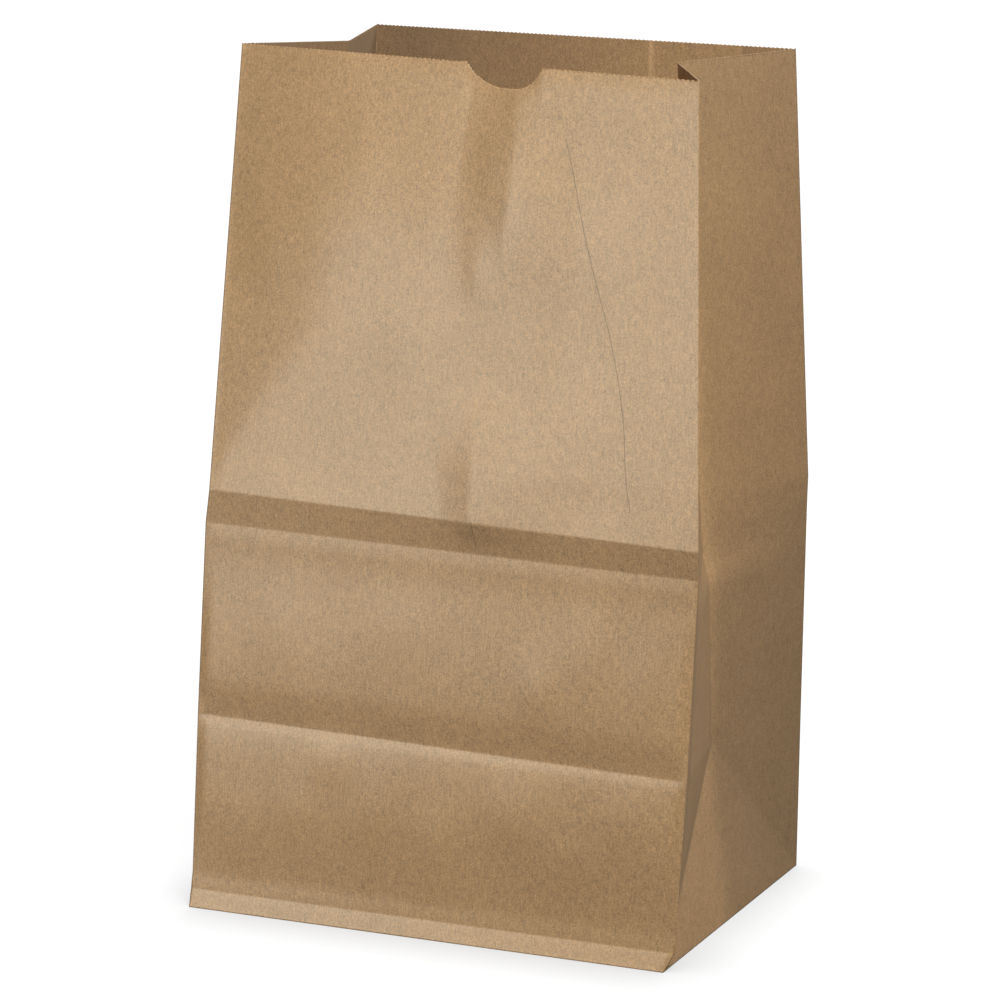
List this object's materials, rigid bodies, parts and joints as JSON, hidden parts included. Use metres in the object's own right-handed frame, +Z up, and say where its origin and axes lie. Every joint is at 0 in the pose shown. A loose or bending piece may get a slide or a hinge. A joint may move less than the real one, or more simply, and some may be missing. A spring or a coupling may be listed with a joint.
{
  "type": "gusseted paper bag",
  "caption": "Open, free-standing kraft paper bag with a flat folded base, gusseted sides and a thumb notch in the front edge.",
  "frame": {"origin": "middle of the folded base, on the surface the bag stands on", "axes": "+Z up along the bag's height, -Y out of the front with the thumb notch, +X to the right seen from the front"},
  "size_m": [0.2192, 0.1867, 0.3403],
  "materials": {
    "kraft_paper": "matt brown kraft paper with a faint mottle"
  },
  "bodies": {
    "root": {"bag": "kraft_paper"}
  },
  "joints": []
}
